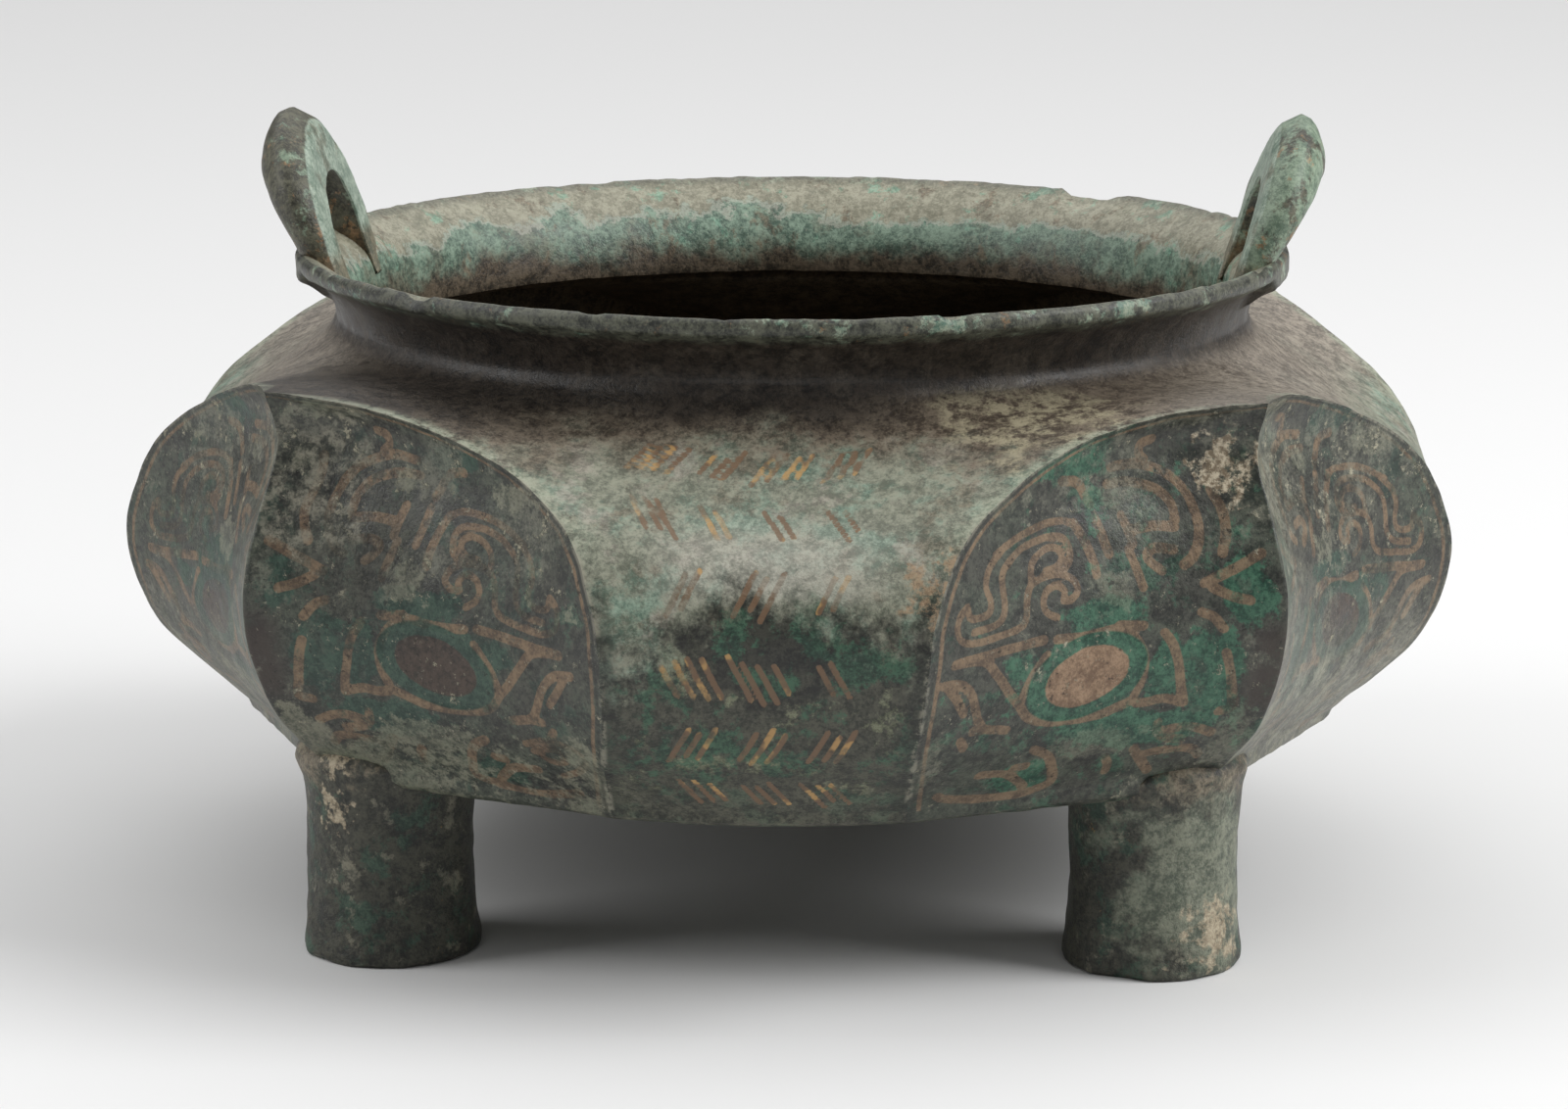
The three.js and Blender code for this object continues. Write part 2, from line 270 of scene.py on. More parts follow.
def tally_mark(rng, centre, lean):
    """One mark of a row: two to four slanting bars side by side that do not touch."""
    count = rng.choice((2, 3, 3, 4))
    bars = []
    for k in range(count):
        across = centre[0] + (k - (count - 1) / 2) * 2.7
        half = rng.uniform(2.8, 4.6)
        middle = centre[1] + rng.uniform(-0.6, 0.6)
        bars.append([(across - lean * half, middle - half), (across + lean * half, middle + half)])
    return bars


def wobble(points, size, seed):
    """Smooth unevenness between -1 and 1 at each point, for bumps of about the given size."""
    return np.array([noise.noise(Vector(p) / size + seed * NOISE_STEP) for p in points])


def front_skew(local):
    """How far the front panel leans aside: the casting is a little askew."""
    x, y, z = local.T
    level = ease(z, UNDERSIDE_Z, 78) * (1 - ease(z, 106, 121))
    return FRONT_SKEW * level * ease(y, 90, 130) * (1 - ease(x, 50, 92))


def cove_height(local):
    """How far the shoulder sweeps up where it meets the neck."""
    away = (np.hypot(local[:, 0], local[:, 1]) - NECK_RADIUS) / COVE_REACH
    return COVE_RISE * (1 - np.sqrt(1 - np.clip(1 - away, 0, 1) ** 2))


def carried(local, side, quarter):
    """Half a lobe, or its mirror image, carried round to one of the four sides of the body."""
    x, y = local[:, 0] * side, local[:, 1]
    if quarter % 4 == 0:
        x = x + front_skew(local)
    c, s = math.cos(quarter * math.pi / 2), math.sin(quarter * math.pi / 2)
    return np.stack([x * c + y * s, x * s - y * c, local[:, 2] + cove_height(local)], 1)


def drawn_under(world, under):
    """Draws the rows below the wall in to the middle of the underside."""
    world[:, :2] *= np.sqrt(np.maximum(0, 1 - under**2))[:, None]
    world[:, 2] = mix(world[:, 2], UNDERSIDE_Z, 1 - (1 - under) ** 5)
    return world


def rows_of(v, wall_rows, floor_rows, first=0):
    """Rank down the wall and share of the way under the floor for each row of a sheet."""
    row = first + np.rint(v * (wall_rows + floor_rows - first))
    return np.clip(row / wall_rows, 0, 1), np.clip((row - wall_rows) / floor_rows, 0, 1)


def spread(t):
    """Columns of a panel lie closer together near its middle."""
    return mix(t, t**3, 0.3)


def panel_skin(quarter, wall_rows=WALL_ROWS, floor_rows=FLOOR_ROWS):
    """One panel with its part of the shoulder, from the foot of the neck to under the floor."""

    def surface(u, v):
        rank, under = rows_of(v, wall_rows, floor_rows)
        t = 2 * u - 1
        across = spread(np.abs(t))
        local = panel_point(rank, across)
        world = drawn_under(carried(local, np.where(t < 0, -1, 1), quarter), under)
        side = lobe_boundary(rank)
        edge = (across - 1) * np.hypot(side[:, 0], side[:, 1]) * np.arctan2(side[:, 0], side[:, 1])
        edge = edge - 40 * (1 - ease(rank, 0.7 * APEX_RANK, 1.1 * APEX_RANK))
        marks = np.full(len(u), 9.0)
        if quarter == 0:
            place = np.linspace(0, 1, 200)
            run = np.linalg.norm(np.diff(curve(PANEL_LINE, place), axis=0), axis=1)
            down = np.interp(rank, place, np.concatenate([[0], np.cumsum(run)]))
            marks = rows_of_marks(np.stack([world[:, 0], down], 1))
        return world, {"edge": edge, "marks": marks, "inside": np.zeros(len(u))}

    return surface


def rows_of_marks(places):
    """Distance to the nearest stroke of the rows of marks, negative inside a stroke."""
    rng = random.Random(11)
    bars = []
    for row, (down, columns) in enumerate(MARK_ROWS):
        for x in columns:
            bars += tally_mark(rng, (x, down), 0.5 if row % 2 else -0.5)
    return np.min([stroke_distance(places, bar, MARK_WIDTH) for bar in bars], 0)


def lobe_skin(quarter, wall_rows=WALL_ROWS, floor_rows=FLOOR_ROWS):
    """The two facets of one lobe, from its apex to under the floor."""

    def surface(u, v):
        rank, under = rows_of(v, wall_rows, floor_rows, wall_rows // 8)
        first = u <= 0.5
        across = np.where(first, 2 * u, 2 - 2 * u)
        local = facet_point(rank, across)
        world = np.where(first[:, None], carried(local, 1, quarter), carried(local, -1, quarter + 1))
        world = drawn_under(world, under)
        down = (rank - APEX_RANK) / (1 - APEX_RANK)
        width = np.linalg.norm(curve(ARRIS_LINE, down) - curve(EDGE_LINE, down), axis=1)
        sway = 0.35 * np.stack([wobble(world, 14, 1), wobble(world, 14, 2)], 1)
        lean = front_skew(local) * np.where(first, quarter == 0, -1 * (quarter == 3))
        chart = np.stack([0.884 * (local[:, 0] + lean) - 0.467 * local[:, 1], local[:, 2]], 1) + sway
        facts = inlay_facts(chart, across * width)
        corner = facts.pop("corner")
        plain = first & (quarter == 0)
        facts["inlay"] = np.where(plain, facts["inlay"], np.minimum(facts["inlay"], corner))
        facts["inlay"] = np.where(under > 0, 9, facts["inlay"])
        facts.update(edge=across * width, arris=(1 - across) * width)
        facts["crust"] = CRUST_OF_FACET[2 * quarter + np.where(first, 0, 1)]
        return world, facts

    return surface


def nearest_stroke(places, strokes, width):
    return np.min([stroke_distance(places, stroke, width) for stroke in strokes], 0)


def area_depth(places, areas):
    """1 in the middle of the nearest area, falling to 0 at its rim."""
    depth = np.zeros(len(places))
    for middle, half in areas:
        reach = (places - np.array(middle)) / np.array(half)
        depth = np.maximum(depth, 1 - np.hypot(reach[:, 0], reach[:, 1]))
    return depth


def inlay_facts(places, edge):
    """Distances to the inlaid lines and the eye of a facet, and its green and crusted areas."""
    fine = nearest_stroke(places, FINE_STROKES, FINE_WIDTH)
    broad = nearest_stroke(places, BROAD_STROKES, BROAD_WIDTH)
    border = np.abs(edge - 2.4) - 0.5
    c, s = math.cos(EYE_TILT), math.sin(EYE_TILT)
    oval = (places - np.array(EYE_CENTRE)) @ np.array([[c, -s], [s, c]]) / np.array(EYE_HALF)
    return {
        "inlay": np.minimum(np.minimum(fine, broad), border),
        "corner": nearest_stroke(places, CORNER_SCROLL, FINE_WIDTH),
        "eye": (np.hypot(oval[:, 0], oval[:, 1]) - 1) * EYE_HALF[1],
        "green": area_depth(places, GREEN_AREAS),
        "caked": area_depth(places, CRUST_AREAS),
    }


def mouth(u, v):
    """The neck, lip and throat, from the foot of the neck round the lip and down inside."""
    profile = [
        (NECK_RADIUS, SHOULDER_Z + COVE_RISE), (99.7, 123.4), (100.3, 125.2), (101.5, 127.2),
        (103.2, 129.3), (105.6, 131.5), (108.4, 133.2), (110.4, 134.2), (111, 135.4), (110.9, 136.9),
        (110.1, 137.7), (109.2, 137.7),
        (107.6, 136.9), (104.4, 134.8), (101, 132.2), (98.6, 129.6), (96.8, 126.8), (95.6, 123.4),
        (95.2, 120), (95.4, 117), (NECK_RADIUS - WALL, inner_height(SHOULDER_Z + COVE_RISE)),
    ]
    ring = curve([(r, 0, z) for r, z in profile], v)
    turn = u * 4
    t = 2 * (turn - np.rint(turn))
    angle = (np.rint(turn) + np.sign(t) * spread(np.abs(t)) / 2 - 1) * math.pi / 2
    x, y = np.cos(angle), np.sin(angle)
    flare = ease(ring[:, 2], SHOULDER_Z + COVE_RISE, LIP_TOP - 3.5)
    radius = ring[:, 0] - MOUTH_DRAWN_IN * flare * x**2
    world = np.stack([radius * x, radius * y, ring[:, 2]], 1)
    thick = (1 - ease(np.abs(world[:, 1]), 27.5, 30)) * ease(ring[:, 2], 127, 132) * (v < 0.4)
    world[:, 2] -= 2.4 * thick * (np.abs(x) > 0.8)
    return world, {"edge": np.full(len(u), -40), "marks": np.full(len(u), 9), "inside": ease(v, 0.5, 0.54)}


def inner_height(z):
    middle = (SHOULDER_Z + UNDERSIDE_Z) / 2
    return middle + (z - middle) * (1 - 2 * WALL / (SHOULDER_Z - UNDERSIDE_Z))


def lining(outer):
    """The inside of a sheet of the body, a wall's thickness in, and more in the tops of the lobes."""

    def surface(u, v):
        world = outer(u, v)[0]
        radius = np.hypot(world[:, 0], world[:, 1])
        wall = WALL + LOBE_TOP_EXTRA * ease(world[:, 2], 104, SHOULDER_Z) * ease(radius, 108, 136)
        world[:, :2] *= np.where(radius > wall, (radius - wall) / np.maximum(radius, 1e-6), 0)[:, None]
        world[:, 2] = inner_height(world[:, 2])
        return world, {"edge": np.full(len(u), -40), "marks": np.full(len(u), 9), "inside": np.ones(len(u))}

    return surface


def leg_skin(u, v):
    """One leg at the origin, from under its foot to inside the body."""
    profile = [
        (0, 0), (9, 0), (16.4, 0), (17.7, 0.1), (18.4, 0.9), (18.3, 3), (18, 5), (17.7, 9), (17.4, 13),
        (17.2, 18), (17.2, 23), (17.3, 28), (17.6, 33), (18.1, 37), (18.9, 40), (19.2, 42.5),
        (17.5, 45), (14, 48), (7, 48), (0, 48),
    ]
    ring = curve([(r, 0, z) for r, z in profile], v)
    angle = u * 2 * math.pi
    ring[:, 0] = np.where((v <= 0) | (v >= 1), 0, ring[:, 0])
    return np.stack([ring[:, 0] * np.cos(angle), ring[:, 0] * np.sin(angle), ring[:, 2]], 1), {}


def leg_top(away):
    """Height at which a leg ends within the wall of the body, by the distance from the body's axis."""
    return float(39.6 + 2 * ease(away, 112, 123) + 8 * ease(away, 123, 128))


def handle_skin(u, v):
    """The right handle: an arch on two posts whose section is flat inside and rounded outside."""
    springing, hole_top = 0.36, 0.71
    post = 0.22
    bow = np.clip((u - post) / (1 - 2 * post), 0, 1) * math.pi
    rise = np.where(u < post, u / post, np.where(u > 1 - post, (1 - u) / post, 1)) * springing
    outer = np.stack([HANDLE_HALF_WIDTH * np.cos(bow), rise + (1 - springing) * np.sin(bow)], 1)
    hole = np.stack([HANDLE_HOLE_HALF * np.cos(bow), rise + (hole_top - springing) * np.sin(bow)], 1)
    round_angle = v * 2 * math.pi
    c, s = np.cos(round_angle), np.round(np.sin(round_angle), 9)
    power = np.where(s < 0, 0.16, 0.5)
    width = (np.sign(c) * np.abs(c) ** power + 1) / 2
    out = (np.sign(s) * np.abs(s) ** power + 1) / 2
    end = (u <= 0) | (u >= 1)
    width, out = np.where(end, 0.5, width), np.where(end, 0.5, out)
    place = mix(hole, outer, width[:, None])
    up = place[:, 1]
    x = mix(*HANDLE_INNER_X, up) + out * mix(*HANDLE_THICKNESS, up)
    foot = HANDLE_FOOT_Z + HANDLE_FOOT_RISE * out
    crown = HANDLE_TOP - np.where(out < 0.5, 4, 9) * (2 * out - 1) ** 2
    side = place[:, 0] * (1 + 0.06 * np.sin(math.pi * out))
    return np.stack([x, side, mix(foot, crown, up)], 1), {"inner_face": 1 - ease(out, 0.02, 0.2)}


def new_mesh(*facts):
    """An empty mesh whose vertices carry the named facts."""
    mesh = bmesh.new()
    for name in facts:
        mesh.verts.layers.float.new(name)
    return mesh


def lay(mesh, columns, rows, surface):
    """Adds a grid to the mesh and carries it onto a surface, in metres, with its facts."""
    made = bmesh.ops.create_grid(mesh, x_segments=columns, y_segments=rows, size=0.5)["verts"]
    flat = np.array([v.co for v in made])
    places, facts = surface(np.clip(flat[:, 0] + 0.5, 0, 1), np.clip(0.5 - flat[:, 1], 0, 1))
    for v, place in zip(made, places * MM):
        v.co = place
    for name, values in facts.items():
        layer = mesh.verts.layers.float[name]
        for v, value in zip(made, values):
            v[layer] = value


def roughen(mesh, layers):
    """Shifts each vertex by a smooth unevenness in millimetres that depends on its place alone."""
    for v in mesh.verts:
        place = v.co / MM
        for height, size, seed in layers:
            v.co += noise.noise_vector(place / size + seed * NOISE_STEP) * height * MM


def piece(name, mesh, material):
    """Closes a mesh into a smooth object that rides on the body."""
    data = bpy.data.meshes.new(name)
    mesh.to_mesh(data)
    mesh.free()
    data.polygons.foreach_set("use_smooth", [True] * len(data.polygons))
    data.materials.append(material)
    thing = bpy.data.objects.new(name, data)
    bpy.context.scene.collection.objects.link(thing)
    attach(thing, "root")
    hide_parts("censer")
    return thing


def join_seams(mesh):
    bmesh.ops.remove_doubles(mesh, verts=mesh.verts, dist=4e-6)
    bmesh.ops.dissolve_degenerate(mesh, edges=mesh.edges, dist=1e-6)
    bmesh.ops.recalc_face_normals(mesh, faces=mesh.faces)


def face_outwards(mesh):
    """Turns an open sheet so that it faces away from the middle of the body."""
    middle = Vector((0, 0, SHOULDER_Z / 2 * MM))
    mesh.normal_update()
    if sum(f.normal.dot(f.calc_center_median() - middle) for f in mesh.faces) < 0:
        bmesh.ops.reverse_faces(mesh, faces=mesh.faces)


def tone(red, green, blue):
    """A colour as seen on screen, as the light values that the shader takes."""
    values = [c / 255 for c in (red, green, blue)]
    return tuple(c / 12.92 if c <= 0.04045 else ((c + 0.055) / 1.055) ** 2.4 for c in values) + (1,)


class Field:
    """A shader value that adds, multiplies and mixes like a number."""

    def __init__(self, tree, socket):
        self.tree = tree
        self.socket = socket

    def node(self, kind, settings, inputs, output=0):
        made = self.tree.nodes.new(kind)
        for name, value in settings.items():
            setattr(made, name, value)
        for name, value in inputs.items():
            if isinstance(value, Field):
                self.tree.links.new(value.socket, made.inputs[name])
            else:
                made.inputs[name].default_value = value
        return Field(self.tree, made.outputs[output])

    def maths(self, operation, first, second):
        return self.node("ShaderNodeMath", {"operation": operation}, {0: first, 1: second})

    def __add__(self, other):
        return self.maths("ADD", self, other)

    __radd__ = __add__

    def __sub__(self, other):
        return self.maths("SUBTRACT", self, other)

    def __rsub__(self, other):
        return self.maths("SUBTRACT", other, self)

    def __mul__(self, other):
        return self.maths("MULTIPLY", self, other)

    __rmul__ = __mul__

    def __truediv__(self, other):
        return self.maths("DIVIDE", self, other)

    def __rtruediv__(self, other):
        return self.maths("DIVIDE", other, self)

    def __pow__(self, other):
        return self.maths("POWER", self, other)

    def least(self, other):
        return self.maths("MINIMUM", self, other)

    def most(self, other):
        return self.maths("MAXIMUM", self, other)

    def rising(self, low, high):
        """0 below low, 1 above high, smooth between."""
        settings = {"interpolation_type": "SMOOTHSTEP"}
        return self.node("ShaderNodeMapRange", settings, {"Value": self, 1: low, 2: high})

    def falling(self, low, high):
        return 1 - self.rising(low, high)

    def tint(self, low, high):
        """A colour between two others, with this value as the share of the second."""
        return self.node("ShaderNodeMix", {"data_type": "RGBA"}, {0: self, 6: low, 7: high}, 2)


class Surface:
    """The places, noises and facts that a finish is made from."""

    def __init__(self, material):
        self.material = material
        tree = material.node_tree
        self.shader = next(n for n in tree.nodes if n.type == "BSDF_PRINCIPLED")
        coords = tree.nodes.new("ShaderNodeTexCoord")
        self.place = Field(tree, coords.outputs["Object"])
        self.x, self.y, self.z = (self.axis(k) * 1000 for k in range(3))
        self.patch, self.fleck = self.grain(18, 7, 2, 0.72), self.grain(4.5, 5, 3, 0.75)
        self.fine, self.dust = self.grain(1.4, 4, 4, 0.75), self.grain(0.6, 2, 5, 0.7)
        self.tooth = self.fleck * 0.45 + self.fine * 0.35 + self.dust * 0.2

    def axis(self, k):
        return self.place.node("ShaderNodeSeparateXYZ", {}, {0: self.place}, k)

    def fact(self, name):
        return self.place.node("ShaderNodeAttribute", {"attribute_name": name}, {}, 2)

    def grain(self, size, detail=3, seed=0, rough=0.55, stretch=(1, 1, 1)):
        """Noise from 0 to 1 in patches of about the given size in millimetres."""
        shifted = self.place.node("ShaderNodeVectorMath", {"operation": "MULTIPLY_ADD"},
                                  {0: self.place, 1: stretch, 2: (0.37 * seed, 0.21 * seed, 0.53 * seed)})
        inputs = {"Vector": shifted, "Scale": 1000 / size, "Detail": detail, "Roughness": rough}
        return self.place.node("ShaderNodeTexNoise", {}, inputs)

    def blotch(self, size, seed, low, high):
        """1 in ragged patches of about the given size in millimetres, 0 between them."""
        return self.grain(size, 6, seed, 0.75).rising(low, high)

    def mottled(self, dark, light):
        """Two shades of one finish, mixed in fine specks."""
        return self.tooth.rising(0.41, 0.59).tint(tone(*dark), tone(*light))

    def plain_underside(self, colour):
        """The same dull finish on the underside of every sheet of the body."""
        under = (self.z + (self.fleck - 0.5) * 2).falling(36.8, 38.6)
        return under.tint(colour, self.mottled((44, 46, 39), (98, 98, 84)))

    def spot(self, centre, size, ragged=0.5):
        """1 in a ragged patch round a place in millimetres, 0 away from it."""
        away = self.place.node("ShaderNodeVectorMath", {"operation": "DISTANCE"},
                               {0: self.place, 1: [c * MM for c in centre]}, 1)
        reach = away * (1000 / size) + (self.grain(size * 0.45, 4, 5) - 0.5) * 2 * ragged
        return reach.falling(0.6, 1.05)

    def finish(self, colour, roughness, height, metal=0.0, relief=0.35):
        tree = self.material.node_tree
        inputs = {"Strength": 1.0, "Distance": relief * MM, "Height": height}
        bump = self.place.node("ShaderNodeBump", {}, inputs)
        values = {"Base Color": colour, "Roughness": roughness, "Metallic": metal, "Normal": bump}
        for name, value in values.items():
            if isinstance(value, Field):
                tree.links.new(value.socket, self.shader.inputs[name])
            else:
                self.shader.inputs[name].default_value = value


def new_material(name):
    material = bpy.data.materials.new(name)
    material.use_nodes = True
    return material


def body_bronze():
    material = new_material("patinated bronze of the body")
    s = Surface(material)
    edge = s.fact("edge")

    # Panels: pale sage above the turn, dark mottled green below it
    sage = s.mottled((98, 102, 88), (150, 152, 134))
    sage = (s.blotch(24, 13, 0.47, 0.6) * 0.8).tint(sage, s.mottled((84, 112, 97), (140, 164, 146)))
    sage = (s.blotch(17, 24, 0.52, 0.62) * 0.6).tint(sage, s.mottled((128, 121, 111), (172, 164, 152)))
    sage = (s.blotch(13, 6, 0.53, 0.63) * 0.7).tint(sage, s.mottled((78, 74, 61), (132, 122, 103)))
    low = s.mottled((36, 38, 31), (82, 82, 70))
    low = (s.blotch(10, 8, 0.55, 0.62) * 0.85).tint(low, s.mottled((72, 76, 56), (132, 136, 110)))
    across, up = (s.x - 4) / 27, (s.z - 81) / 9
    # Dark patina with painted shade under the turn of the front panel, on the front only
    dark_patina_and_painted_shade = (across * across + up * up + (s.patch - 0.5) * 16 + (s.fleck - 0.5) * 6).falling(0.2, 2.2)
    low = (dark_patina_and_painted_shade * s.y.falling(-120, -100) * 0.8).tint(low, s.mottled((14, 15, 13), (50, 50, 43)))
    low = (s.blotch(11, 7, 0.51, 0.58) * 0.8).tint(low, s.mottled((20, 50, 38), (62, 104, 80)))
    foot = (s.z + (s.patch - 0.5) * 40).falling(40, 54)
    low = (foot * 0.7).tint(low, s.mottled((44, 46, 39), (98, 98, 84)))
    margin = (across * across).least(1)
    # Painted highlight along the turn, in the middle of the front and back panels
    painted_turn_highlight = (s.z + (s.patch - 0.5) * 16).rising(86, 92) * s.z.falling(95, 104) * (1 - margin)
    sage = (painted_turn_highlight * 0.6).tint(sage, s.mottled((150, 149, 138), (190, 186, 174)))
    wall = (s.z + (s.patch - 0.5) * 66 + (s.fleck - 0.5) * 16 + margin * 12).rising(81, 97).tint(low, sage)
    # Dark dirt with painted shade in the groove beside each lobe's raised edge, below the turn
    edge_dirt_and_painted_shade = edge.rising(-5, -0.8) * (s.z + (s.fleck - 0.5) * 40).falling(84, 98)
    wall = (edge_dirt_and_painted_shade * 0.7).tint(wall, s.mottled((18, 19, 17), (58, 62, 52)))

    # Shoulder: brown round the neck, dirt and a painted shadow of the neck in front, paler at the flanks,
    # and worn with painted highlights and glints along the lobes
    brown = s.mottled((66, 57, 48), (124, 112, 96))
    shoulder = (s.z + (s.patch - 0.5) * 26).rising(106, 116).tint(wall, brown)
    flank = (s.x * s.x / 10000).rising(0.45, 0.9) * s.z.rising(100, 108)
    shoulder = (flank * 0.85).tint(shoulder, s.mottled((98, 90, 80), (164, 154, 140)))
    # Dirt and a painted shadow of the neck and lip on the front of the shoulder, mostly left of the middle
    dirt_and_painted_neck_shadow = (s.z + (s.patch - 0.5) * 12).rising(112.5, 118) * s.y.falling(-80, -35) * s.x.falling(10, 44)
    shoulder = (dirt_and_painted_neck_shadow * 0.9).tint(shoulder, s.mottled((20, 17, 14), (56, 49, 41)))
    bare = s.spot((52, -97, 113), 20, 1.2) * s.fleck.rising(0.42, 0.56)
    shoulder = (bare * 0.7).tint(shoulder, s.mottled((112, 105, 84), (172, 164, 136)))
    # Worn band along the lobes' edges on the shoulder, which also paints the highlight where the shoulder
    # rolls over towards the edge
    worn = edge.rising(-9, -2) * s.z.rising(92, 100) * s.fleck.rising(0.4, 0.54)
    shoulder = (worn * 0.75).tint(shoulder, s.mottled((112, 124, 106), (168, 172, 152)))
    # Worn metal and painted glints along the very edge of the lobes
    wear_and_painted_glints = edge.rising(-1.2, -0.2) * s.fleck.rising(0.46, 0.58)
    shoulder = (wear_and_painted_glints * 0.6).tint(shoulder, tone(150, 146, 130))
    orange = s.spot((37, -138.5, 90.8), 7.5, 2) * s.fleck.rising(0.46, 0.56)
    body = (orange * 0.8).tint(shoulder, s.mottled((112, 86, 62), (166, 140, 110)))

    # Strokes on the front panel
    mark = (s.fact("marks") + (s.fine - 0.5) * 0.4).falling(-0.12, 0.12)
    gilt = s.grain(9, 3, 12).rising(0.54, 0.6).tint(tone(116, 90, 67), tone(184, 146, 92))
    lost = s.patch.rising(0.5, 0.58)
    body = (mark * (0.85 - lost * 0.5)).tint(body, gilt)

    # Neck and lip
    neck = s.mottled((20, 17, 14), (58, 50, 42))
    streak = s.grain(5, 6, 15, 0.7, (1, 1, 0.15)).rising(0.48, 0.62)
    neck = (streak * 0.5).tint(neck, s.mottled((52, 47, 40), (88, 80, 70)))
    neck = (s.x.falling(-100, -50) * 0.1).tint(neck, s.mottled((60, 54, 48), (104, 96, 88)))
    body = (s.z + (s.fleck - 0.5) * 8).rising(118, 123).tint(body, neck)
    rim = s.mottled((34, 36, 31), (94, 96, 82))
    rim = s.blotch(9, 16, 0.55, 0.62).tint(rim, s.mottled((78, 108, 92), (150, 160, 140)))
    rim = (s.blotch(5, 19, 0.6, 0.66) * 0.7).tint(rim, s.mottled((96, 74, 52), (150, 118, 84)))
    outside = (s.z + (s.fleck - 0.5) * 3).rising(131.6, 133.4).tint(body, rim)

    # Inside of the mouth and bowl
    level = s.z + (s.patch - 0.5) * 22 + (s.grain(60, 4, 1) - 0.5) * 14
    inside = s.mottled((44, 39, 32), (104, 92, 76))
    aqua = s.mottled((72, 94, 81), (138, 160, 141))
    aqua = (s.blotch(15, 17, 0.5, 0.62) * 0.6).tint(aqua, s.mottled((68, 67, 56), (120, 116, 98)))
    inside = level.rising(119.5, 126).tint(inside, aqua)
    beige = s.mottled((122, 120, 102), (166, 163, 144))
    beige = (s.blotch(20, 18, 0.5, 0.62) * 0.6).tint(beige, s.mottled((94, 96, 79), (140, 140, 118)))
    inside = level.rising(130.4, 131.4).tint(inside, beige)
    tide = level.rising(129.4, 130.1) * level.falling(130.5, 131.1)
    inside = (tide * 0.5).tint(inside, tone(186, 184, 170))
    bright = s.blotch(9, 25, 0.57, 0.64) * level.rising(121, 127)
    inside = (bright * 0.7).tint(inside, s.mottled((86, 132, 110), (142, 182, 158)))
    stain = s.grain(8, 6, 26, 0.75, (1, 1, 0.5)).rising(0.56, 0.64) * s.z.rising(118, 124)
    inside = (stain * 0.65).tint(inside, s.mottled((70, 58, 44), (126, 104, 80)))
    inside = ((s.z + (s.fleck - 0.5) * 6).rising(136, 137.4) * 0.6).tint(inside, rim)
    body = s.fact("inside").rising(0.3, 0.7).tint(s.plain_underside(outside), inside)
    height = s.patch * 0.45 + s.fleck * 0.5 + s.fine * 0.4 + s.dust * 0.25 - mark * 0.15
    s.finish(body, 0.47 + (s.fleck - 0.5) * 0.5, height)
    return material


